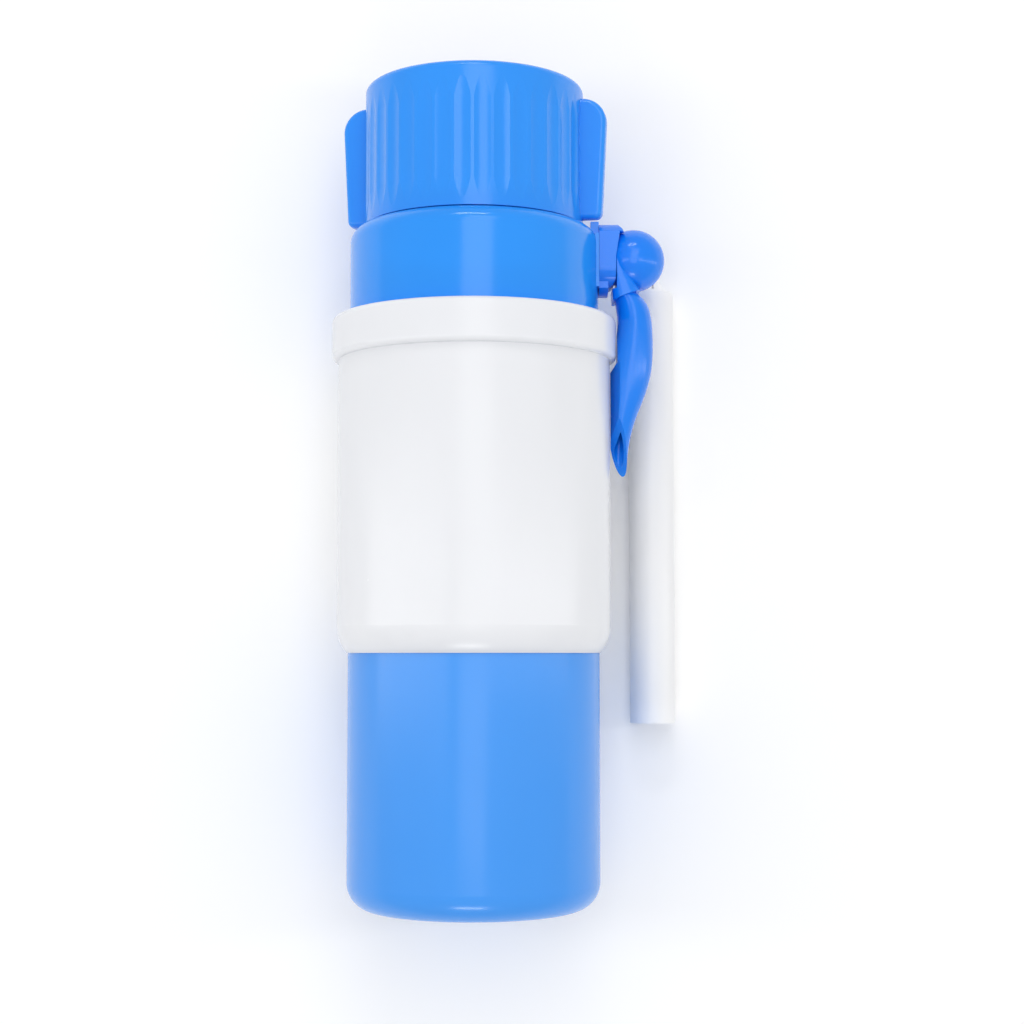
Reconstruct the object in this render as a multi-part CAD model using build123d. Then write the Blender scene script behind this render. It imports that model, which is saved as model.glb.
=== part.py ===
from build123d import *
import os
from math import cos, hypot, radians, sin

# Hand pump for a 19 litre water bottle, lying on its side with its dip tube beside it. Millimetres.
# The pieces are modelled upright on the bottle's axis: Z is the height above the mouth of the
# collar, +X is the side of the spout. laid_down() turns each piece onto its side for export, so
# in the exported frame +Y runs towards the neck end, +Z is up and the origin is in the middle of
# the land that grips the bottle neck. Radii grow outwards from the bottle's neck and heights are
# stacked from the mouth of the collar, so that the parts stay fitted when one size is changed.

# --- bottle neck and fits ---------------------------------------------------------------------
neck_d = 55.0            # outside of a 19 litre bottle's neck
fit_gap = 0.08           # clearance of parts that turn or slide on each other
free_gap = 0.30          # clearance between bodies that only pass each other
seat_gap = 0.02          # clearance of parts that are pushed together and stay

# --- lock collar ------------------------------------------------------------------------------
collar_length = 41.9
collar_stand = 5.0       # from the neck's outside to the collar's
collar_mouth_round = 2.0
flute_count = 36
flute_depth = 0.4
flute_share = 0.94       # share of the pitch that a flute takes
flute_base = 4.5
flute_margin = 2.0       # from the upper end of the flutes to the collar's end
flute_fade = 6.0         # length over which a flute runs out at each end
wing_stand = 7.7         # from the collar's outside to the wing's
wing_thick = 5.0
wing_base = 4.3
wing_margin = 1.5        # from the wing's upper end to the collar's
wing_draw = 1.8          # how much less the wing reaches at its upper end
wing_flat = 0.5          # what the large rounding leaves of the wing's lower edge
wing_top_round = 2.0
wing_edge_round = 1.4
wing_angle = 10.0        # direction of the first wing, from the spout side

# --- collet skirt and its land ----------------------------------------------------------------
collet_stand = 2.5       # from the neck's outside to the skirt's
collet_wall = 1.7
collet_tip = 3.4
land_base = 4.4
land_length = 8.0
collet_slots = 8
slot_width = 3.0
slot_margin = 9.0        # from the end of the slots to the bulkhead
catch_base = 3.8
catch_height = 1.6
catch_depth = 0.9
catch_bevel = 0.4

# --- base ring --------------------------------------------------------------------------------
ring_height = 27.3       # from its underside to the housing
ring_stand = 4.3         # from the collar's outside to the ring's
ring_wall = 2.4
shoulder_round = 5.0
shoulder_wall = 2.6
bulkhead_drop = 6.2      # how much lower than the ring's underside the bulkhead lies
bulkhead_wall = 2.8
flange_height = 14.5     # how far the ring runs up inside the housing
rebate_height = 8.5      # and where its rebate for the bellows starts
rebate_wall = 1.2        # how much smaller the rebate is than the ring
vent_count = 4
vent_d = 5.0
vent_margin = 2.0        # from a vent to the gasket's bore

# --- housing ----------------------------------------------------------------------------------
housing_length = 98.5
housing_stand = 3.3      # from the ring's outside to the housing's
housing_wall = 1.8
rim_stand = 1.9
rim_height = 12.6
rim_round = 1.6
crown_round = 12.0
mouth_gap = 0.35
snap_height = 2.0
snap_depth = 0.8

# --- press cap --------------------------------------------------------------------------------
cap_show = 74.2          # how far it stands out of the housing
cap_hold = 20.0          # and how far it reaches into it
cap_gap = 1.4            # between the cap and the housing's bore, taken up by the bead
cap_wall = 1.8
cap_end_wall = 2.2
cap_end_round = 8.0
cap_bead = 0.9
cap_bead_height = 2.0
dish_depth = 1.0
dish_margin = 2.0        # flat ring between the dish and the end's rounding

# --- bellows, its plates and valves -----------------------------------------------------------
fold_count = 9
fold_gap = 2.1           # between the folds and the cap's bore
fold_depth = 8.0
bellows_wall = 1.1
cuff_height = 1.8
valve_plate_wall = 3.5
stiffener_d = 28.0       # ring under the valve plate
stiffener_wall = 1.2
stiffener_height = 2.5
port_count = 6
port_d = 3.2
port_radius = 6.5
valve_d = 20.0
valve_lift = 0.1         # gap under the edge of a resting valve
valve_edge = 0.8
valve_crown = 2.2
valve_crown_d = 6.0
valve_stem_d = 4.0
valve_bulb = 0.8         # how far the bulb stands out from the stem
valve_bulb_height = 2.5
clamp_ring_height = 3.0
clamp_ring_width = 8.6
clamp_ring_bevel = 0.6
clamp_notches = 6
clamp_notch_width = 3.0
clamp_notch_depth = 2.0
clamp_notch_height = 1.2
top_plate_wall = 2.0
top_plate_drop = 5.4     # from the cap's ceiling to the underside of the plate
top_skirt = 4.0
top_skirt_wall = 1.2
plate_feet = 6
plate_foot_length = 5.0
plate_foot_width = 2.0

# --- waterway ---------------------------------------------------------------------------------
nipple_d = 12.4
nipple_length = 19.0     # from its tip to the bulkhead
nipple_flange_width = 2.8
nipple_flange = 2.5
nipple_thread_depth = 1.2
nipple_thread_height = 7.0
nipple_lead = 2.5        # height of the tapered tip
nipple_lead_depth = 0.9
nipple_bore_d = 7.0
elbow_upright_d = 15.6
elbow_foot = 2.0         # how far the elbow's foot stands out
elbow_foot_height = 1.6
elbow_crown_round = 1.5
elbow_arm_wall = 1.1     # wall round the stem
elbow_clear = 0.2        # between the elbow's arm and the ring's shoulder
elbow_wall_gap = 1.2     # from the end of the elbow to the ring's wall
elbow_bore_d = 6.4
gasket_width = 6.8
gasket_thick = 2.4
gasket_round = 0.6
stem_d = 11.0
stem_reach = 10.4        # how far the stem runs inside the ring's wall
stem_bore_d = 5.6
clip_place = 1.0         # distance of the clip from the stem's end
clip_width = 1.0
clip_depth = 0.7
clip_opening = 3.0
clip_side_gap = 0.2
union_seal_d = 1.6       # section of the rings on the stem
union_seal_places = (4.6, 7.6)

# --- swivel bracket and spout -----------------------------------------------------------------
ball_d = 18.4
ball_seat_wall = 1.27    # what the seat of the ball leaves of the block
ball_seal_d = 2.0
ball_seal_angle = 36.0   # half angle of the seal's ring as seen from the ball's centre
block_thick = 4.9        # of the block beside the spout
block_thick_low = 6.1    # and beside the lip
block_high = 9.0         # from the ball's centre to the block's end
bracket_depth = 15.8
bracket_round = 3.2
heel_thick = 2.7         # thinner part that runs on beyond the block
heel_high = 10.8         # from the ball's centre to its end
heel_depth = 12.0
lip_drop = 0.6           # how far the lip hangs below the ring's underside
lip_height = 2.5
lip_depth = 17.2
lip_thick_low = 5.6      # the lip's slanted outer end
lip_thick = 7.4
nib_drop = 1.2           # the nib on the ring's shoulder that meets the lip
nib_width = 2.4
nib_depth = 12.0
ear_gap = 0.5
ear_thick = 2.5
ear_round = 5.0
pin_d = 3.2
pin_head_d = 6.0
pin_head = 1.2
pin_end = 3.5            # distance of the pin's inner end from the ball's centre
neck_side = 5.9          # from the ball's centre to the middle of the neck's narrow root
neck_width = 2.6
neck_depth = 15.2
neck_round = 1.2
mouth_low_side = 6.35    # the oblique end of the socket, corner beside the housing
mouth_low_rise = 3.4     # and how much higher than the ball it is
mouth_high_side = 1.65   # its outer corner, on the other side of the ball's centre
mouth_high_rise = 0.4
mouth_round = 3.4
socket_wall = 0.8
socket_grip = 2.2
arm_wall = 1.1
# sections of the arm: height above the housing's lower end, distance from its rim, width, depth
# and lean from upright in degrees
arm_sections = (
    (1.0, 5.6, 10.3, 14.0, 9.0),
    (7.5, 5.3, 11.5, 13.4, 0.0),
    (14.5, 4.35, 12.4, 12.6, -9.0),
    (24.0, 2.7, 10.0, 10.8, -11.0),
    (34.5, 1.1, 6.4, 8.0, -6.0),
    (41.0, 0.7, 5.3, 6.6, 0.0),
    (49.5, 0.5, 5.2, 5.2, 0.0),
)
arm_run = 2.6            # length over which the arm comes in to the housing beyond the rim
arm_flat_gap = 0.6       # from the housing to the middle of the arm's flat side
arm_flat_turn = 23.0     # how far that side is turned towards +Y
# three points of the spout's oblique mouth: distance from the rim, distance from the arm's middle
# plane and height above the housing's lower end
tip_inner = (-1.6, -2.4, 39.0)
tip_outer = (3.05, -2.0, 47.8)
tip_near = (3.3, 3.0, 38.0)

# --- telescopic dip tube ----------------------------------------------------------------------
tube_aside = 5.9         # from the pump's rim to the tube
tube_length = 134.4
tube_base = 55.2
tube_d = 14.0
tube_wall = 0.8
nest_gap = 0.5
crimp_height = 2.0
stage_inset = 4.0        # how much lower each inner stage ends
stage_step = 1.0         # how much further in each inner stage starts
foot_show = 5.0          # how far the foot stands out of the outer tube
foot_cone = 4.3
foot_tip_d = 5.0
foot_wall = 0.8
foot_spigot = 6.0
foot_slots = 4
foot_slot_width = 1.4
foot_slot_base = 1.2
foot_slot_height = 2.6
stage_seal_drop = 2.5
stage_seal_height = 1.5

# --- radii, from the neck outwards ------------------------------------------------------------
neck_r = neck_d / 2
gasket_bore_r = neck_r + collet_stand - collet_wall - gasket_width
vent_radius = gasket_bore_r - vent_margin - vent_d / 2
collet_r = neck_r + collet_stand
skirt_bore = collet_r - collet_wall
collar_r = neck_r + collar_stand
wing_reach = collar_r + wing_stand
ring_r = collar_r + ring_stand
ring_bore = ring_r - ring_wall
rebate_r = ring_r - rebate_wall
housing_r = ring_r + housing_stand
housing_bore_r = housing_r - housing_wall
flange_r = housing_bore_r - seat_gap
rim_r = housing_r + rim_stand
cap_r = housing_bore_r - cap_gap
cap_bore_r = cap_r - cap_wall
crest_r = cap_bore_r - fold_gap
clamp_hole_r = rebate_r - clamp_ring_width

# --- heights, from the mouth of the collar upwards --------------------------------------------
grip_centre = land_base + land_length / 2
flute_top = collar_length - flute_margin
wing_top = collar_length - wing_margin
ring_base = collar_length + free_gap
nib_low = ring_base - nib_drop
bracket_low = ring_base - lip_drop
bulkhead_base = ring_base - bulkhead_drop
bulkhead_top = bulkhead_base + bulkhead_wall
slot_top = bulkhead_base - slot_margin
nipple_tip = bulkhead_base - nipple_length
nipple_top = bulkhead_top + nipple_thread_height
rim_base = ring_base + ring_height
flange_top = rim_base + flange_height
rebate_base = rim_base + rebate_height
housing_top = rim_base + housing_length
valve_plate_base = rebate_base
cuff_base = valve_plate_base + valve_plate_wall
clamp_base = cuff_base + cuff_height
cap_skirt_base = housing_top - cap_hold
cap_top = housing_top + cap_show
cap_ceiling = cap_top - cap_end_wall
top_plate_base = cap_ceiling - top_plate_drop
top_cuff_base = top_plate_base - cuff_height
tube_top = tube_base + tube_length

# --- the outlet, its bracket and the ball -----------------------------------------------------
ball_r = ball_d / 2
stem_r = stem_d / 2
elbow_arm_r = stem_r + elbow_arm_wall
ball_seal_r = ball_seal_d / 2
tube_r = tube_d / 2
outlet_height = ring_base + shoulder_wall + elbow_clear + elbow_arm_r
stem_start = ring_bore - stem_reach
clip_start = stem_start + clip_place
clip_end = clip_start + clip_width
bracket_start = ring_r + fit_gap
bracket_face = bracket_start + block_thick
bracket_face_low = bracket_start + block_thick_low
bracket_heel = bracket_start + heel_thick
lip_start = bracket_start + lip_thick_low
lip_end = bracket_start + lip_thick
bracket_high = outlet_height + block_high
ball_x = bracket_start + ball_seat_wall + ball_r
mouth_low_x = ball_x - mouth_low_side
mouth_low_z = outlet_height + ball_r + mouth_low_rise
mouth_high_x = ball_x + mouth_high_side
mouth_high_z = outlet_height + ball_r + mouth_high_rise
mouth_width = hypot(mouth_high_x - mouth_low_x, mouth_high_z - mouth_low_z)


# --- helpers ----------------------------------------------------------------------------------
def turned(points, rounds=()):
    """Solid of revolution about Z from (radius, height) corners, some of them rounded."""
    outline = rounded(make_face(Polyline(*points, close=True)), rounds)
    return revolve(Plane.XZ * outline, Axis.Z)


def rounded(outline, rounds):
    """Round some corners of a flat outline, each given by its place and size."""
    for across, along, size in rounds:
        corner = outline.vertices().sort_by_distance((across, along, 0))[0]
        outline = fillet(corner, size)
    return outline


def hoop(outer_r, inner_r, low, high):
    """Plain ring between two heights."""
    return turned([(inner_r, low), (outer_r, low), (outer_r, high), (inner_r, high)])


def rod(radius, low, high):
    """Upright cylinder on the axis."""
    return Pos(0, 0, low) * Cylinder(radius, high - low, align=(Align.CENTER, Align.CENTER, Align.MIN))


def block(x_low, x_high, y_low, y_high, z_low, z_high):
    """Box between six planes."""
    centre = Pos((x_low + x_high) / 2, (y_low + y_high) / 2, (z_low + z_high) / 2)
    return centre * Box(x_high - x_low, y_high - y_low, z_high - z_low)


def cross_rod(radius, start, end, height=outlet_height):
    """Cylinder along +X, on the outlet's axis unless told otherwise."""
    return Pos(start, 0, height) * Rot(0, 90, 0) * rod(radius, 0, end - start)


def cross_groove(depth_r, start, end):
    """Ring to cut from the stem, so that a groove with a bottom of that radius is left."""
    return cross_rod(stem_r + 1, start, end) - cross_rod(depth_r, start - 1, end + 1)


def seal_ring(mean_r, section_r):
    """Eight-sided sealing ring round the axis."""
    section = Pos(mean_r, 0, 0) * RegularPolygon(section_r, 8, rotation=180 / 8)
    return revolve(Plane.XZ * section, Axis.Z)


def around(piece, count, first=0.0):
    """Copies of a piece spread evenly about the axis."""
    return [Rot(0, 0, first + 360.0 * i / count) * piece for i in range(count)]


def laid_down(piece):
    """Turn a piece from upright onto its side, with the grip's centre at the origin."""
    return Rot(90, 0, 0) * Pos(0, 0, -grip_centre) * piece


# --- base ring, its gasket and the waterway ---------------------------------------------------
def base_ring():
    """Outer ring, shoulder, collet skirt and bulkhead, moulded in one."""
    bead = snap_depth - seat_gap
    bead_base = rim_base + rim_height / 2
    body = turned(
        [
            (0, bulkhead_base), (skirt_bore, bulkhead_base), (skirt_bore, collet_tip),
            (collet_r, collet_tip), (collet_r, ring_base), (ring_r, ring_base),
            (ring_r, rim_base), (flange_r, rim_base), (flange_r, bead_base),
            (flange_r + bead, bead_base + bead), (flange_r, bead_base + snap_height),
            (flange_r, flange_top), (rebate_r, flange_top), (rebate_r, rebate_base),
            (ring_bore, rebate_base), (ring_bore, ring_base + shoulder_wall),
            (skirt_bore, ring_base + shoulder_wall), (skirt_bore, bulkhead_top), (0, bulkhead_top),
        ],
        rounds=[(ring_r, ring_base, shoulder_round)],
    )
    body += catch_bead()
    body += grip_land()
    body += block(ring_r - nib_width, ring_r, -nib_depth / 2, nib_depth / 2, nib_low,
                  ring_base + shoulder_round)
    body += block(ring_r - ring_wall / 2, ring_r, -bracket_depth / 2, bracket_depth / 2,
                  ring_base + shoulder_round / 2, bracket_high)
    body -= around(collet_slot(), collet_slots, 180.0 / collet_slots)
    body -= rod(nipple_d / 2 - nipple_thread_depth + seat_gap, bulkhead_base - 1, bulkhead_top + 1)
    vent = Pos(vent_radius, 0, 0) * rod(vent_d / 2, bulkhead_base - 1, bulkhead_top + 1)
    body -= around(vent, vent_count, 180.0 / vent_count)
    return body - cross_rod(stem_r + fit_gap, ring_bore - shoulder_round, bracket_start)


def catch_bead():
    """Bead near the tip of the collet skirt that keeps the collar on."""
    root = collet_r - collet_wall / 2
    crest = collet_r + catch_depth
    top = catch_base + catch_height
    return turned([(root, catch_base), (collet_r, catch_base), (crest, catch_base + catch_bevel),
                   (crest, top), (root, top)])


def grip_land():
    """Raised land inside the collet skirt that grips the bottle neck."""
    root = skirt_bore + collet_wall / 2
    ramp = root - neck_r
    return turned([(root, land_base - ramp), (neck_r, land_base), (neck_r, land_base + land_length),
                   (root, land_base + land_length + ramp)])


def collet_slot():
    """Slot with a round end through the collet skirt."""
    reach = collet_wall + catch_depth
    inner = skirt_bore - reach
    outer = collet_r + reach
    slot = block(inner, outer, -slot_width / 2, slot_width / 2, 0, slot_top)
    return slot + cross_rod(slot_width / 2, inner, outer, slot_top)


def neck_gasket():
    """Flat ring against the bulkhead that the bottle's lip presses on."""
    top = bulkhead_base - seat_gap
    inner = gasket_bore_r
    outer = skirt_bore - seat_gap
    base = top - gasket_thick
    return turned([(inner, base), (outer, base), (outer, top), (inner, top)],
                  rounds=[(inner, base, gasket_round)])


def tube_nipple():
    """Tapered nipple for the dip tube, held in the bulkhead by its upper end."""
    bore = nipple_bore_d / 2
    outer = nipple_d / 2
    flange = outer + nipple_flange_width
    thread = outer - nipple_thread_depth
    flange_top_face = bulkhead_base - seat_gap
    flange_base = flange_top_face - nipple_flange
    return turned(
        [
            (bore, nipple_tip), (outer - nipple_lead_depth, nipple_tip), (outer, nipple_tip + nipple_lead),
            (outer, flange_base), (flange, flange_base), (flange, flange_top_face), (thread, flange_top_face),
            (thread, nipple_top), (bore, nipple_top),
        ]
    )


def outlet_elbow():
    """Elbow from the nipple to the stem of the swivel bracket."""
    floor = bulkhead_top + seat_gap
    crown = outlet_height + elbow_upright_d / 2
    end = ring_bore - elbow_wall_gap
    body = rod(elbow_upright_d / 2, floor, crown)
    body = fillet(body.edges().group_by(Axis.Z)[-1], elbow_crown_round)
    body += rod(elbow_upright_d / 2 + elbow_foot, floor, floor + elbow_foot_height)
    body += cross_rod(elbow_arm_r, 0, end)
    body -= rod(nipple_d / 2 - nipple_thread_depth + seat_gap, floor - 1, nipple_top + seat_gap)
    body -= rod(elbow_bore_d / 2, floor, outlet_height)
    body -= cross_rod(elbow_bore_d / 2, 0, end + 1)
    body -= cross_rod(stem_r + fit_gap, stem_start - free_gap, end + 1)
    return body - cross_rod(stem_r + clip_depth + seat_gap, clip_start - seat_gap, clip_end + seat_gap)


def union_clip():
    """Open snap ring in the elbow that runs in the groove of the bracket's stem."""
    inner = stem_r - clip_depth + fit_gap
    ring = cross_rod(stem_r + clip_depth, clip_start, clip_end)
    ring -= cross_rod(inner, clip_start - 1, clip_end + 1)
    opening = block(clip_start - 1, clip_end + 1, -clip_opening / 2, clip_opening / 2,
                    outlet_height - 2 * stem_r, outlet_height - inner / 2)
    return ring - opening


# --- housing ----------------------------------------------------------------------------------
def housing():
    """White sleeve with a thick rim below and a domed opening above."""
    opening_r = cap_r + mouth_gap
    groove_base = rim_base + rim_height / 2
    rim_top = rim_base + rim_height
    dome_drop = housing_r - opening_r
    dome_height = (crown_round ** 2 - (crown_round - dome_drop) ** 2) ** 0.5
    dome_base = housing_top - dome_height
    outer_arc = RadiusArc((housing_r, dome_base), (opening_r, housing_top), -crown_round)
    inner_round = crown_round - housing_wall
    inner_top = dome_base + (inner_round ** 2 - (inner_round - dome_drop + housing_wall) ** 2) ** 0.5
    inner_arc = RadiusArc((opening_r, inner_top), (housing_bore_r, dome_base), inner_round)
    wall = Polyline(
        (housing_bore_r, dome_base), (housing_bore_r, groove_base + snap_height + seat_gap),
        (housing_bore_r + snap_depth, groove_base + snap_depth), (housing_bore_r, groove_base - seat_gap),
        (housing_bore_r, rim_base), (rim_r, rim_base), (rim_r, rim_top), (housing_r, rim_top),
        (housing_r, dome_base),
    )
    lip = Line((opening_r, housing_top), (opening_r, inner_top))
    outline = rounded(make_face(wall + outer_arc + lip + inner_arc),
                      [(rim_r, rim_base, rim_round), (rim_r, rim_top, rim_round)])
    return revolve(Plane.XZ * outline, Axis.Z)


# --- bellows and its plates -------------------------------------------------------------------
def bellows():
    """Accordion tube with a flat cuff at each end."""
    root_r = crest_r - fold_depth
    neck = clamp_hole_r - free_gap
    low = clamp_base + clamp_ring_height + free_gap
    high = top_cuff_base - top_skirt
    pitch = (high - low) / fold_count
    slant = hypot(pitch / 2, crest_r - root_r) / (pitch / 2)
    wall = bellows_wall * slant
    foot = cuff_base + seat_gap
    head = top_plate_base - seat_gap
    outside = [(crest_r, foot), (crest_r, clamp_base - seat_gap), (neck, clamp_base - seat_gap), (neck, low)]
    inside = [(neck - bellows_wall, foot), (neck - bellows_wall, low)]
    for fold in range(fold_count):
        crest = low + pitch * (fold + 0.5)
        outside.append((crest_r, crest))
        inside.append((crest_r - wall, crest))
        if fold < fold_count - 1:
            outside.append((root_r, crest + pitch / 2))
            inside.append((root_r - wall, crest + pitch / 2))
    outside += [(neck, high), (neck, top_cuff_base + seat_gap), (crest_r, top_cuff_base + seat_gap),
                (crest_r, head)]
    inside += [(neck - bellows_wall, high), (neck - bellows_wall, head)]
    return turned(outside + inside[::-1])


def umbrella_valve(plate_low, plate_high):
    """Soft mushroom valve: a thin dished skirt below its plate, a stem and a bulb above."""
    skirt_r = valve_d / 2
    stem = valve_stem_d / 2 - seat_gap
    skirt_top = plate_low - valve_lift
    bulb = plate_high + valve_lift
    return turned(
        [
            (0, plate_low - valve_crown), (valve_crown_d / 2, plate_low - valve_crown),
            (skirt_r, skirt_top - valve_edge), (skirt_r, skirt_top), (stem, skirt_top), (stem, bulb),
            (stem + valve_bulb, bulb + valve_bulb / 2), (0, bulb + valve_bulb_height),
        ]
    )


def ported_plate(outer_r, low, high):
    """Disc with a hole for the valve stem and a circle of air ports."""
    plate = rod(outer_r, low, high) - rod(valve_stem_d / 2, low - 1, high + 1)
    port = Pos(port_radius, 0, 0) * rod(port_d / 2, low - 1, high + 1)
    return plate - around(port, port_count)


def valve_plate():
    """Floor of the bellows, in the rebate of the base ring."""
    plate = ported_plate(rebate_r - seat_gap, valve_plate_base, cuff_base)
    stiffener_r = stiffener_d / 2
    return plate + hoop(stiffener_r, stiffener_r - stiffener_wall, valve_plate_base - stiffener_height,
                        valve_plate_base + valve_plate_wall / 2)


def bellows_clamp_ring():
    """Ring pressed into the rebate over the lower cuff, with notches for a key."""
    outer = rebate_r - seat_gap
    top = clamp_base + clamp_ring_height
    ring = turned([(clamp_hole_r, clamp_base), (outer, clamp_base), (outer, top - clamp_ring_bevel),
                   (outer - clamp_ring_bevel, top), (clamp_hole_r, top)])
    notch = block(outer - clamp_notch_depth, outer + 1, -clamp_notch_width / 2, clamp_notch_width / 2,
                  top - clamp_notch_height, top + 1)
    return ring - around(notch, clamp_notches)


def bellows_top_plate():
    """Plate between bellows and cap, with a skirt round the upper cuff and feet against the cap's end."""
    top = top_plate_base + top_plate_wall
    outer = crest_r + seat_gap + top_skirt_wall
    plate = ported_plate(outer, top_plate_base, top)
    plate += hoop(outer, outer - top_skirt_wall, top_plate_base - top_skirt, top)
    foot_end = cap_r - cap_end_round - seat_gap
    foot = block(foot_end - plate_foot_length, foot_end, -plate_foot_width / 2, plate_foot_width / 2,
                 top - top_plate_wall / 2, cap_ceiling - seat_gap)
    return plate + around(foot, plate_feet)


# --- press cap --------------------------------------------------------------------------------
def press_cap():
    """Deep cup with a rounded, slightly dished end and a guide bead at its open edge."""
    bead_r = cap_r + cap_bead
    bead_top = cap_skirt_base + cap_bead_height
    body = turned(
        [
            (0, cap_ceiling), (cap_bore_r, cap_ceiling), (cap_bore_r, cap_skirt_base),
            (bead_r, cap_skirt_base), (bead_r, bead_top), (cap_r, bead_top + cap_bead), (cap_r, cap_top),
            (0, cap_top),
        ],
        rounds=[(cap_r, cap_top, cap_end_round), (cap_bore_r, cap_ceiling, cap_end_round - cap_wall)],
    )
    dish_span = cap_r - cap_end_round - dish_margin
    dish_r = (dish_span ** 2 + dish_depth ** 2) / (2 * dish_depth)
    return body - Pos(0, 0, cap_top - dish_depth + dish_r) * Sphere(dish_r)


# --- lock collar ------------------------------------------------------------------------------
def wing():
    """Thumb wing: a rounded plate that stands out from the collar."""
    inner = collar_r - 2 * flute_depth
    reach = wing_reach - wing_draw
    outline = make_face(Polyline((inner, wing_base), (wing_reach, wing_base), (reach, wing_top),
                                 (inner, wing_top), close=True))
    outline = rounded(outline, [(wing_reach, wing_base, wing_stand - wing_flat),
                                (reach, wing_top, wing_top_round)])
    plate = extrude(Plane.XZ * outline, wing_thick / 2, both=True)
    sides = plate.edges().filter_by(lambda edge: abs(edge.center().Y) > wing_thick / 2 - fit_gap)
    return fillet(sides.filter_by(lambda edge: edge.center().X > collar_r), wing_edge_round)


def flute():
    """Cutter for one flute: a rod that tapers at both ends, so that the flute runs out gently."""
    half_width = radians(180.0 / flute_count) * collar_r * flute_share
    cutter_r = (half_width ** 2 + flute_depth ** 2) / (2 * flute_depth)
    low = flute_base + flute_fade
    high = flute_top - flute_fade
    cutter = turned([(0, flute_base), (cutter_r - flute_depth, flute_base), (cutter_r, low), (cutter_r, high),
                     (cutter_r - flute_depth, flute_top), (0, flute_top)])
    return Pos(collar_r - flute_depth + cutter_r, 0, 0) * cutter


def lock_collar():
    """Fluted collar with two wings that turns on the collet skirt."""
    bore = collet_r + fit_gap
    groove_r = collet_r + catch_depth + free_gap
    groove_low = catch_base - free_gap
    groove_high = catch_base + catch_height + free_gap
    body = turned(
        [
            (bore, 0), (collar_r, 0), (collar_r, collar_length), (bore, collar_length), (bore, groove_high),
            (groove_r, groove_high), (groove_r, groove_low), (bore, groove_low),
        ],
        rounds=[(collar_r, 0, collar_mouth_round)],
    )
    body -= around(flute(), flute_count, 180.0 / flute_count)
    for side in (0, 180):
        body += Rot(0, 0, wing_angle + side) * wing()
    return body


# --- swivel bracket, ball and spout -----------------------------------------------------------
def ball_centre():
    """Place of the ball's centre."""
    return Pos(ball_x, 0, outlet_height)


def bracket_block():
    """Block of the bracket: its side view, cut to its front and plan, and round enough to pass the wings."""
    lip_top = bracket_low + lip_height
    side = make_face(Polyline((bracket_start, bracket_low), (lip_start, bracket_low),
                              (lip_end, lip_top), (bracket_face_low, lip_top), (bracket_face, outlet_height),
                              (bracket_face, bracket_high), (bracket_start, bracket_high), close=True))
    side = rounded(side, [(bracket_face, bracket_high, bracket_round)])
    body = extrude(Plane.XZ * side, lip_depth / 2, both=True)
    front = make_face(Polyline((-lip_depth / 2, bracket_low), (lip_depth / 2, bracket_low),
                               (lip_depth / 2, lip_top), (bracket_depth / 2, lip_top),
                               (bracket_depth / 2, bracket_high), (-bracket_depth / 2, bracket_high),
                               (-bracket_depth / 2, lip_top), (-lip_depth / 2, lip_top), close=True))
    front = rounded(front, [(side_y, bracket_high, 2 * bracket_round) for side_y in
                            (-bracket_depth / 2, bracket_depth / 2)])
    body &= Pos(bracket_start, 0, 0) * extrude(Plane.YZ * front, lip_end - bracket_start)
    plan = Pos((bracket_start + lip_end) / 2, 0) * Rectangle(lip_end - bracket_start, lip_depth)
    plan = fillet(plan.vertices().group_by(Axis.X)[-1], bracket_round)
    body &= Pos(0, 0, bracket_low) * extrude(plan, bracket_high - bracket_low)
    heel = block(bracket_start, bracket_heel, -heel_depth / 2, heel_depth / 2, outlet_height,
                 outlet_height + heel_high)
    sweep_r = outlet_height - wing_top - free_gap
    return (body + heel) & cross_rod(sweep_r, bracket_start, lip_end)


def swivel_bracket():
    """Block with the ball's seat, an ear for its pivot on the hidden side and a stem into the elbow."""
    body = bracket_block()
    ear_out = -(ball_r + ear_gap + ear_thick)
    ear_in = -(ball_r + ear_gap)
    ear_low = outlet_height - ear_round
    ear_high = outlet_height + ear_round
    ear_root = bracket_heel
    body += block(ear_root, ball_x, ear_out, ear_in, ear_low, ear_high)
    body += block(ear_root, bracket_face, ear_out, -bracket_depth / 4, ear_low, ear_high)
    body += Pos(ball_x, ear_in, outlet_height) * Rot(90, 0, 0) * rod(ear_round, 0, ear_thick)
    body += cross_rod(stem_r, stem_start, bracket_heel)
    body -= ball_centre() * Sphere(ball_r + free_gap)
    body -= cross_rod(stem_bore_d / 2, stem_start - 1, ball_x)
    body -= cross_groove(stem_r - clip_depth, clip_start - clip_side_gap, clip_end + clip_side_gap)
    for place in union_seal_places:
        half = union_seal_d / 2 + seat_gap
        body -= cross_groove(stem_r - union_seal_d, stem_start + place - half, stem_start + place + half)
    body -= ball_seal_at(ball_seal_r + seat_gap)
    return body - ball_centre() * Rot(90, 0, 0) * rod(pin_d / 2 + seat_gap, 0, 1 - ear_out)


def union_seals():
    """Two sealing rings on the stem of the bracket."""
    section_r = union_seal_d / 2 - seat_gap
    ring = Rot(0, 90, 0) * seal_ring(stem_r - union_seal_d / 2, section_r)
    places = [stem_start + place for place in union_seal_places]
    return Compound(children=[Pos(place, 0, outlet_height) * ring for place in places])


def ball_seal_at(section_r):
    """Sealing ring round the waterway in the seat of the ball."""
    reach = ball_r + fit_gap + ball_seal_r
    angle = radians(ball_seal_angle)
    ring = seal_ring(reach * sin(angle), section_r)
    return ball_centre() * Rot(0, 90, 0) * Pos(0, 0, -reach * cos(angle)) * ring


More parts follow.
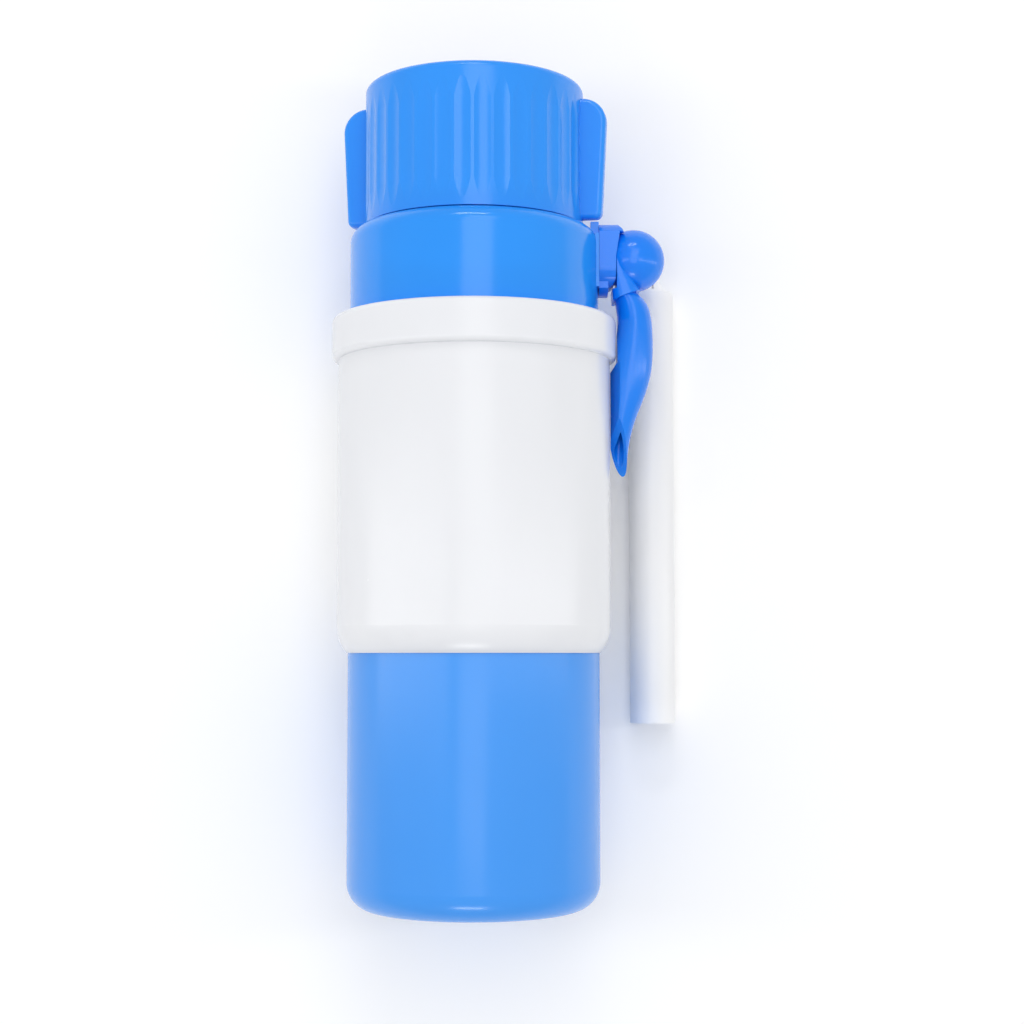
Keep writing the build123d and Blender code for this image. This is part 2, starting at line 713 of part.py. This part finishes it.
def spout_pin():
    """Headed pin through the ear into the ball."""
    ear_face = ball_r + ear_gap + ear_thick
    shaft = rod(pin_d / 2, pin_end, ear_face + pin_head)
    head = rod(pin_head_d / 2, ear_face + seat_gap, ear_face + pin_head)
    head = fillet(head.edges().group_by(Axis.Z)[-1], pin_head / 2)
    return ball_centre() * Rot(90, 0, 0) * (shaft + head)


def mouth_plane():
    """Plane of the socket's oblique mouth, looking along the arm."""
    centre = ((mouth_low_x + mouth_high_x) / 2, 0, (mouth_low_z + mouth_high_z) / 2)
    across = (mouth_high_x - mouth_low_x, 0, mouth_high_z - mouth_low_z)
    return Plane(origin=centre, x_dir=across, z_dir=(-across[2], 0, across[0]))


def arm_outline(section, margin):
    """Oval outline of the arm in its own plane, grown by a margin. No section: where it leaves the socket."""
    if section is None:
        frame = mouth_plane()
        width = mouth_width - 2 * socket_wall
        depth = neck_depth - 2 * socket_wall
    else:
        height, aside, width, depth, lean = section
        across = (cos(radians(lean)), 0, -sin(radians(lean)))
        centre = (rim_r + aside, 0, rim_base + height)
        frame = Plane(origin=centre, x_dir=across, z_dir=(-across[2], 0, across[0]))
    return frame * Ellipse(width / 2 + margin, depth / 2 + margin)


def spout_ball():
    """Ball head with the oval neck and socket that hold the arm."""
    root = RectangleRounded(neck_width, neck_depth, neck_round)
    neck = loft([Pos(ball_x - neck_side, 0, outlet_height) * root,
                 mouth_plane() * RectangleRounded(mouth_width, neck_depth, mouth_round)])
    neck -= block(0, bracket_face + free_gap, -lip_depth, lip_depth, 0, bracket_high + free_gap)
    body = ball_centre() * Sphere(ball_r) + neck
    body -= extrude(arm_outline(None, seat_gap), socket_grip, dir=(0, 0, -1))
    mouth = mouth_plane().origin
    aim = (mouth.X - ball_x, 0, mouth.Z - outlet_height)
    waterway = Plane(origin=(ball_x, 0, outlet_height), x_dir=(0, 1, 0), z_dir=aim)
    body -= extrude(waterway * Circle(stem_bore_d / 2), hypot(aim[0], aim[2]))
    inlet = Pos(ball_x, 0, 0) * rod(stem_bore_d / 2, outlet_height - ball_r - 1, outlet_height)
    pin_hole = ball_centre() * Rot(90, 0, 0) * rod(pin_d / 2 + fit_gap, pin_end - 1, ball_r + 1)
    return body - inlet - pin_hole


def arm_form(margin):
    """Loft of the arm through its sections, from the mouth of the socket to beyond the tip."""
    return loft([arm_outline(section, margin) for section in (None, *arm_sections)])


def housing_side(margin):
    """Room that the arm leaves for the housing and its rim, grown by a margin."""
    low = rim_base - free_gap - margin
    high = rim_base + rim_height + free_gap + margin
    beside_rim = rim_r + free_gap + margin
    beside_housing = housing_r + free_gap + margin
    room = make_face(Polyline((0, low), (beside_rim, low), (beside_rim, high),
                              (beside_housing, high + arm_run), (beside_housing, housing_top),
                              (0, housing_top), close=True))
    return extrude(Plane.XZ * room, lip_depth, both=True)


def flat_side(margin):
    """Room beyond the arm's flat side, grown by a margin."""
    place = Pos(housing_r + arm_flat_gap, 0, 0) * Rot(0, 0, -arm_flat_turn)
    return place * block(-housing_r, margin, -housing_r, housing_r, rim_base + rim_height, housing_top)


def beyond_tip():
    """Room beyond the oblique mouth of the spout."""
    corners = [Vector(rim_r + aside, near, rim_base + height) for aside, near, height in
               (tip_inner, tip_outer, tip_near)]
    along = corners[1] - corners[0]
    facing = along.cross(corners[2] - corners[0])
    plane = Plane(origin=corners[0], x_dir=along, z_dir=facing)
    return plane * block(-rim_r, rim_r, -rim_r, rim_r, 0, rim_r)


def spout_arm():
    """Hollow curved spout with a flat side to the housing and an oblique mouth."""
    tail = extrude(arm_outline(None, 0), socket_grip - seat_gap, dir=(0, 0, -1))
    tail_bore = extrude(arm_outline(None, -arm_wall), socket_grip, dir=(0, 0, -1))
    outside = arm_form(0) + tail - housing_side(0) - flat_side(0)
    inside = arm_form(-arm_wall) + tail_bore - housing_side(arm_wall) - flat_side(arm_wall)
    return outside - inside - beyond_tip()


# --- telescopic dip tube ----------------------------------------------------------------------
def tube_place(piece):
    """Lay a tube piece beside the pump, on the surface that the rim rests on."""
    return Pos(rim_r + tube_aside + tube_r, tube_r - rim_r, 0) * piece


def stage_r(stage):
    """Outer radius of a stage of the tube. Stage 0 is the outermost."""
    return tube_r - stage * (tube_wall + nest_gap)


def stage_low(stage):
    """Lower end of a stage."""
    return tube_base + stage * stage_step


def stage_high(stage):
    """Upper end of a stage."""
    return tube_top - stage * stage_inset


def crimped_tube(stage):
    """Thin tube with a crimped lower end that keeps the next stage in."""
    outer = stage_r(stage)
    inner = outer - tube_wall
    crimp = stage_r(stage + 1) + fit_gap
    low = stage_low(stage)
    high = stage_high(stage)
    return turned([(crimp, low), (outer, low), (outer, high), (inner, high), (inner, low + crimp_height),
                   (crimp, low + crimp_height - nest_gap)])


def plain_tube(stage):
    """Innermost tube, open at both ends."""
    outer = stage_r(stage)
    return hoop(outer, outer - tube_wall, stage_low(stage), stage_high(stage))


def stage_seal(stage):
    """Band round the upper end of an inner stage."""
    high = stage_high(stage) - stage_seal_drop
    outer = stage_r(stage) + nest_gap - fit_gap
    return hoop(outer, stage_r(stage) + seat_gap, high - stage_seal_height, high)


def tube_foot():
    """Tapered foot with slots, its spigot pushed into the innermost tube."""
    outer = stage_r(2)
    spigot = outer - tube_wall - seat_gap
    shoulder = stage_low(2) - seat_gap
    low = tube_base - foot_show
    cone_top = low + foot_cone
    tip = foot_tip_d / 2
    body = turned(
        [
            (tip - foot_wall, low), (tip, low), (outer, cone_top), (outer, shoulder), (spigot, shoulder),
            (spigot, shoulder + foot_spigot), (spigot - foot_wall, shoulder + foot_spigot),
            (spigot - foot_wall, cone_top), (tip - foot_wall, low + foot_wall),
        ]
    )
    slot = block(tip - foot_wall, 2 * outer, -foot_slot_width / 2, foot_slot_width / 2, low + foot_slot_base,
                 low + foot_slot_base + foot_slot_height)
    return body - around(slot, foot_slots)


# --- export -----------------------------------------------------------------------------------
def pieces():
    """Every node's name and its upright solid."""
    return {
        "housing": housing(),
        "base_ring": base_ring(),
        "neck_gasket": neck_gasket(),
        "tube_nipple": tube_nipple(),
        "outlet_elbow": outlet_elbow(),
        "union_clip": union_clip(),
        "valve_plate": valve_plate(),
        "air_valve": umbrella_valve(valve_plate_base, cuff_base),
        "bellows_clamp_ring": bellows_clamp_ring(),
        "bellows": bellows(),
        "bellows_top_plate": bellows_top_plate(),
        "intake_valve": umbrella_valve(top_plate_base, top_plate_base + top_plate_wall),
        "press_cap": press_cap(),
        "lock_collar": lock_collar(),
        "swivel_bracket": swivel_bracket(),
        "union_seals": union_seals(),
        "ball_seal": ball_seal_at(ball_seal_r),
        "spout_pin": spout_pin(),
        "spout_ball": spout_ball(),
        "spout_arm": spout_arm(),
        "dip_tube_outer": tube_place(crimped_tube(0)),
        "dip_tube_middle": tube_place(crimped_tube(1)),
        "middle_seal": tube_place(stage_seal(1)),
        "dip_tube_inner": tube_place(plain_tube(2)),
        "inner_seal": tube_place(stage_seal(2)),
        "tube_foot": tube_place(tube_foot()),
    }


os.makedirs("parts", exist_ok=True)
for name, piece in pieces().items():
    export_step(laid_down(piece), f"parts/{name}.step")
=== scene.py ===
"""Looks of a hand pump for a large water bottle, packed on its side with its dip tube beside it."""
import math

import bpy
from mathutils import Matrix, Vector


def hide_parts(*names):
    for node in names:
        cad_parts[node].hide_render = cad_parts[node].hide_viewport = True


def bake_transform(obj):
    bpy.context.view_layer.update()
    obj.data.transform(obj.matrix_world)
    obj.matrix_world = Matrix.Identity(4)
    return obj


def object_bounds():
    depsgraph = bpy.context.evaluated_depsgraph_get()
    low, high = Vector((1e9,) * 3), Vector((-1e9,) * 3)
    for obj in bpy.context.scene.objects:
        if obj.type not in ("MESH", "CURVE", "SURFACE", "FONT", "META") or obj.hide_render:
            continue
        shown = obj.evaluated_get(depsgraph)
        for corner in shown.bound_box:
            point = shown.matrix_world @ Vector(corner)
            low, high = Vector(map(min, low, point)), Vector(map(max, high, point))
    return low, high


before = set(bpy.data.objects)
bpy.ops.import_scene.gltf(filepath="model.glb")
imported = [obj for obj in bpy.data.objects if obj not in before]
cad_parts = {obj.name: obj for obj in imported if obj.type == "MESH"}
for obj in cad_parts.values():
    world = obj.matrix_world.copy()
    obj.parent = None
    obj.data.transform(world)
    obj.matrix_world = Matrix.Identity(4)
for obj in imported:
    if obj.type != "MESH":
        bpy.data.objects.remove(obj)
cad_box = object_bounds()

# --- places and sizes, in metres ------------------------------------------------------------------
FLOOR_Z = cad_box[0][2]
FLOOR_SIZE = 6.0
TARGET_X = 0.0112             # the point of the axis plane in the middle of the picture
TARGET_Y = -0.1181
CAMERA_DISTANCE = 0.575       # from the plane of the pump's axis
CAMERA_CLIP = 0.01            # nearest that the camera sees
CAMERA_TILT = math.radians(4.2)
CAMERA_LENS = 68.5            # focal length and sensor width, in millimetres
CAMERA_SENSOR = 36.0

# --- colours, as they show in the photograph --------------------------------------------------------
RING_BLUE = (0.130, 0.567, 0.955)
COLLAR_BLUE = (0.150, 0.565, 0.955)
CAP_BLUE = (0.245, 0.588, 0.942)
SPOUT_BLUE = (0.030, 0.500, 0.948)
HOUSING_WHITE = (0.908, 0.914, 0.930)
TUBE_WHITE = (0.980, 0.982, 0.988)
INNER_WHITE = (0.900, 0.905, 0.910)
BELLOWS_WHITE = (0.880, 0.885, 0.880)
SEAL_GREY = (0.820, 0.825, 0.825)
FLOOR_WHITE = (0.975, 0.975, 0.975)
FULL_WHITE = (1.0, 1.0, 1.0, 1.0)

# --- surface of moulded plastic -----------------------------------------------------------------------
# A scale is a pattern's fineness: larger is finer. A depth is in metres.
FLOW_SCALE = 30.0             # flow marks of the melt, in the colour
FLOW_DETAIL = 3.0
FLOW_DARK = 0.985
FLOW_LIGHT = 1.01
GLOSS_SCALE = 60.0            # uneven gloss, as factors of the roughness
GLOSS_LOW = 0.9
GLOSS_HIGH = 1.15
PEEL_SCALE = 900.0            # fine orange peel
PEEL_STRENGTH = 0.25
PEEL_DEPTH = 0.00002
WAVE_SCALE = 45.0             # broad waves where the wall has shrunk
WAVE_DETAIL = 0.0
WAVE_STRENGTH = 0.15
WAVE_DEPTH = 6 * PEEL_DEPTH
SEAM_HALF_WIDTH = 0.00022     # parting line
SEAM_STRENGTH = 0.6
SEAM_HEIGHT = 0.00006
PLASTIC_IOR = 1.49
PLASTIC_SCATTER = 0.0025      # how far light travels inside

# --- surface of the seals -----------------------------------------------------------------------------
DUST_SCALE = 500.0
DUST_DETAIL = 4.0
DUST_DARK = 0.93
DUST_STRENGTH = 0.3
DUST_DEPTH = 0.00003
RUBBER_GLOSSIEST = 0.55
RUBBER_DULLEST = 0.7
RUBBER_SOFT = 0.2
RUBBER_SCATTER = 0.002

# --- surface of the floor, and the surroundings -------------------------------------------------------
FLOOR_CLOUD_SCALE = 4.0
FLOOR_CLOUD_DARK = 0.995
FLOOR_ROUGHNESS = 0.9
FLOOR_SPECULAR = 0.1
FLOOR_GLOW = 0.06
WORLD_STRENGTH = 0.62


# --- material helpers ---------------------------------------------------------------------------------
def linear(colour):
    """Colour as it shows, turned by the sRGB curve into the linear values that the shader takes."""
    return tuple(c / 12.92 if c <= 0.04045 else ((c + 0.055) / 1.055) ** 2.4 for c in colour) + (1.0,)


def shaded(colour, factor):
    """Lighter or darker shade of a colour."""
    return tuple(min(1.0, c * factor) for c in colour)


class Nodes:
    """Small helper that adds and joins the nodes of one material."""

    def __init__(self, name):
        self.material = bpy.data.materials.new(name)
        self.material.use_nodes = True
        self.tree = self.material.node_tree
        self.shader = self.tree.nodes["Principled BSDF"]
        coordinates = self.tree.nodes.new("ShaderNodeTexCoord")
        self.place = coordinates.outputs["Object"]

    def join(self, source, target):
        """Link an output to an input."""
        self.tree.links.new(source, target)

    def stretched(self, scale):
        """Object coordinates scaled by a different factor each way."""
        mapping = self.tree.nodes.new("ShaderNodeMapping")
        mapping.inputs["Scale"].default_value = scale
        self.join(self.place, mapping.inputs["Vector"])
        return mapping.outputs["Vector"]

    def noise(self, scale, detail=2.0, place=None):
        """Cloudy pattern from 0 to 1."""
        node = self.tree.nodes.new("ShaderNodeTexNoise")
        node.inputs["Scale"].default_value = scale
        node.inputs["Detail"].default_value = detail
        self.join(place or self.place, node.inputs["Vector"])
        return node.outputs["Fac"]

    def spread(self, value, low, high, start=0.2, end=0.8):
        """A value between start and end, by default a pattern's middle range, turned into low to high."""
        node = self.tree.nodes.new("ShaderNodeMapRange")
        node.inputs["From Min"].default_value = start
        node.inputs["From Max"].default_value = end
        node.inputs["To Min"].default_value = low
        node.inputs["To Max"].default_value = high
        self.join(value, node.inputs["Value"])
        return node.outputs["Result"]

    def blend(self, factor, first, second):
        """Colour between two colours."""
        node = self.tree.nodes.new("ShaderNodeMix")
        node.data_type = "RGBA"
        self.join(factor, node.inputs["Factor"])
        node.inputs["A"].default_value = linear(first)
        node.inputs["B"].default_value = linear(second)
        return node.outputs["Result"]

    def bump(self, height, strength, distance, below=None):
        """Relief from a height pattern, on top of another relief if one is given."""
        node = self.tree.nodes.new("ShaderNodeBump")
        node.inputs["Strength"].default_value = strength
        node.inputs["Distance"].default_value = distance
        self.join(height, node.inputs["Height"])
        if below is not None:
            self.join(below, node.inputs["Normal"])
        return node.outputs["Normal"]

    def seen_glow(self, strength):
        """Glow that only the camera, mirrors and clear plastic see, and that lights nothing."""
        rays = self.tree.nodes.new("ShaderNodeLightPath")
        total = rays.outputs["Is Camera Ray"]
        for ray in ("Is Glossy Ray", "Is Transmission Ray"):
            plus = self.tree.nodes.new("ShaderNodeMath")
            plus.operation = "MAXIMUM"
            self.join(total, plus.inputs[0])
            self.join(rays.outputs[ray], plus.inputs[1])
            total = plus.outputs["Value"]
        return self.spread(total, 0.0, strength, 0.0, 1.0)

    def seam(self, axis, half_width):
        """Fine raised line where the two halves of the mould met: 1 on the plane, 0 beside it."""
        parts = self.tree.nodes.new("ShaderNodeSeparateXYZ")
        self.join(self.place, parts.inputs["Vector"])
        distance = self.tree.nodes.new("ShaderNodeMath")
        distance.operation = "ABSOLUTE"
        self.join(parts.outputs[axis], distance.inputs[0])
        return self.spread(distance.outputs["Value"], 1.0, 0.0, 0.0, half_width)


def moulded(name, colour, roughness, soft=0.0, seam_axis=None, streak=1.0):
    """Injection-moulded plastic with flow marks, uneven gloss and orange peel.

    soft is the share of light that scatters inside, seam_axis the direction across the parting line, if
    there is one, and streak how many times longer the flow marks are along the pump.
    """
    nodes = Nodes(name)
    shader = nodes.shader
    flow = nodes.noise(FLOW_SCALE, FLOW_DETAIL, nodes.stretched((1.0, 1.0 / streak, 1.0)))
    nodes.join(nodes.blend(nodes.spread(flow, 0.0, 1.0), shaded(colour, FLOW_DARK),
                           shaded(colour, FLOW_LIGHT)),
               shader.inputs["Base Color"])
    gloss = nodes.noise(GLOSS_SCALE)
    nodes.join(nodes.spread(gloss, roughness * GLOSS_LOW, roughness * GLOSS_HIGH),
               shader.inputs["Roughness"])
    relief = nodes.bump(nodes.noise(PEEL_SCALE), PEEL_STRENGTH, PEEL_DEPTH)
    relief = nodes.bump(nodes.noise(WAVE_SCALE, WAVE_DETAIL), WAVE_STRENGTH, WAVE_DEPTH, relief)
    if seam_axis:
        relief = nodes.bump(nodes.seam(seam_axis, SEAM_HALF_WIDTH), SEAM_STRENGTH, SEAM_HEIGHT, relief)
    nodes.join(relief, shader.inputs["Normal"])
    shader.inputs["IOR"].default_value = PLASTIC_IOR
    shader.inputs["Subsurface Weight"].default_value = soft
    shader.inputs["Subsurface Radius"].default_value = (1.0, 1.0, 1.0)
    shader.inputs["Subsurface Scale"].default_value = PLASTIC_SCATTER
    return nodes.material


def rubber(name, colour):
    """Soft silicone with a powdery surface."""
    nodes = Nodes(name)
    shader = nodes.shader
    dust = nodes.noise(DUST_SCALE, DUST_DETAIL)
    nodes.join(nodes.blend(nodes.spread(dust, 0.0, 1.0), shaded(colour, DUST_DARK), colour),
               shader.inputs["Base Color"])
    nodes.join(nodes.spread(dust, RUBBER_GLOSSIEST, RUBBER_DULLEST), shader.inputs["Roughness"])
    nodes.join(nodes.bump(dust, DUST_STRENGTH, DUST_DEPTH), shader.inputs["Normal"])
    shader.inputs["Subsurface Weight"].default_value = RUBBER_SOFT
    shader.inputs["Subsurface Scale"].default_value = RUBBER_SCATTER
    return nodes.material


def dress(material, *names):
    """Give CAD nodes a material."""
    for name in names:
        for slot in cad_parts[name].material_slots:
            slot.material = material


# --- materials of the pump ------------------------------------------------------------------------------
def dress_pump():
    """Every CAD node's material, apart from the bellows, which is replaced."""
    dress(moulded("housing_white", HOUSING_WHITE, roughness=0.24, soft=0.25, streak=4.0), "housing")
    dress(moulded("ring_blue", RING_BLUE, roughness=0.16, soft=0.05), "base_ring")
    dress(moulded("collar_blue", COLLAR_BLUE, roughness=0.19, soft=0.05), "lock_collar")
    dress(moulded("cap_blue", CAP_BLUE, roughness=0.22, soft=0.08, streak=3.0), "press_cap")
    dress(moulded("spout_blue", SPOUT_BLUE, roughness=0.20, soft=0.05, seam_axis="Z"),
          "swivel_bracket", "spout_ball", "spout_arm", "spout_pin")
    dress(moulded("tube_white", TUBE_WHITE, roughness=0.30, soft=0.3, streak=8.0),
          "dip_tube_outer", "dip_tube_middle", "dip_tube_inner", "tube_foot")
    dress(moulded("inner_white", INNER_WHITE, roughness=0.40, soft=0.1),
          "tube_nipple", "outlet_elbow", "union_clip", "valve_plate", "bellows_clamp_ring",
          "bellows_top_plate")
    dress(rubber("seal_rubber", SEAL_GREY),
          "neck_gasket", "air_valve", "intake_valve", "union_seals", "ball_seal", "middle_seal", "inner_seal")


# --- bellows ------------------------------------------------------------------------------------------------
def soft_bellows():
    """Copy of the bellows with a material of its own, shown in place of the CAD bellows, which is hidden."""
    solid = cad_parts["bellows"]
    piece = bpy.data.objects.new("bellows_soft", solid.data.copy())
    bpy.context.collection.objects.link(piece)
    piece.matrix_world = solid.matrix_world
    piece.data.materials.clear()
    piece.data.materials.append(moulded("bellows_white", BELLOWS_WHITE, roughness=0.45, soft=0.4))
    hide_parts("bellows")
    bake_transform(piece)


# --- stage ------------------------------------------------------------------------------------------------
def floor():
    """Large pale floor under the pump."""
    bpy.ops.mesh.primitive_plane_add(size=FLOOR_SIZE, location=(TARGET_X, TARGET_Y, FLOOR_Z))
    plane = bpy.context.object
    plane.name = "floor"
    nodes = Nodes("floor_white")
    shader = nodes.shader
    cloud = nodes.noise(FLOOR_CLOUD_SCALE)
    nodes.join(nodes.blend(cloud, shaded(FLOOR_WHITE, FLOOR_CLOUD_DARK), FLOOR_WHITE),
               shader.inputs["Base Color"])
    shader.inputs["Roughness"].default_value = FLOOR_ROUGHNESS
    shader.inputs["Specular IOR Level"].default_value = FLOOR_SPECULAR
    shader.inputs["Emission Color"].default_value = FULL_WHITE
    nodes.join(nodes.seen_glow(FLOOR_GLOW), shader.inputs["Emission Strength"])
    plane.data.materials.append(nodes.material)


def area_light(name, place, size, power):
    """Soft rectangular lamp, in metres and watts, that points at the middle of the picture."""
    data = bpy.data.lights.new(name, "AREA")
    data.shape = "RECTANGLE"
    data.size = size[0]
    data.size_y = size[1]
    data.energy = power
    lamp = bpy.data.objects.new(name, data)
    bpy.context.collection.objects.link(lamp)
    lamp.location = place
    aim = (TARGET_X, TARGET_Y, 0.0)
    direction = [a - b for a, b in zip(aim, place)]
    flat = math.hypot(direction[0], direction[1])
    lamp.rotation_euler = (math.atan2(flat, -direction[2]), 0,
                           math.atan2(direction[1], direction[0]) - math.pi / 2)


def lights():
    """Even white surroundings, a soft lamp above and narrow ones that draw the highlights."""
    world = bpy.data.worlds.new("studio")
    bpy.context.scene.world = world
    world.use_nodes = True
    background = world.node_tree.nodes["Background"]
    background.inputs["Color"].default_value = FULL_WHITE
    background.inputs["Strength"].default_value = WORLD_STRENGTH
    area_light("key", place=(0.05, 0.10, 0.85), size=(0.4, 0.9), power=1.75)
    area_light("right", place=(0.62, -0.12, 0.40), size=(0.05, 1.5), power=1.1)
    area_light("left", place=(-0.70, -0.12, 0.35), size=(0.14, 1.5), power=1.7)
    area_light("mouth_end", place=(-0.02, 0.50, 0.40), size=(0.25, 0.04), power=0.60)
    area_light("cap_end", place=(-0.02, -0.75, 0.40), size=(0.25, 0.04), power=0.60)


def camera():
    """Camera above the pump, a little towards its cap, as in the photograph."""
    data = bpy.data.cameras.new("camera")
    data.lens = CAMERA_LENS
    data.sensor_width = CAMERA_SENSOR
    data.clip_start = CAMERA_CLIP
    body = bpy.data.objects.new("camera", data)
    bpy.context.collection.objects.link(body)
    body.location = (TARGET_X, TARGET_Y - CAMERA_DISTANCE * math.sin(CAMERA_TILT),
                     CAMERA_DISTANCE * math.cos(CAMERA_TILT))
    body.rotation_euler = (CAMERA_TILT, 0, 0)
    bpy.context.scene.camera = body


dress_pump()
soft_bellows()
floor()
lights()
camera()
bpy.context.scene.view_settings.view_transform = "Standard"
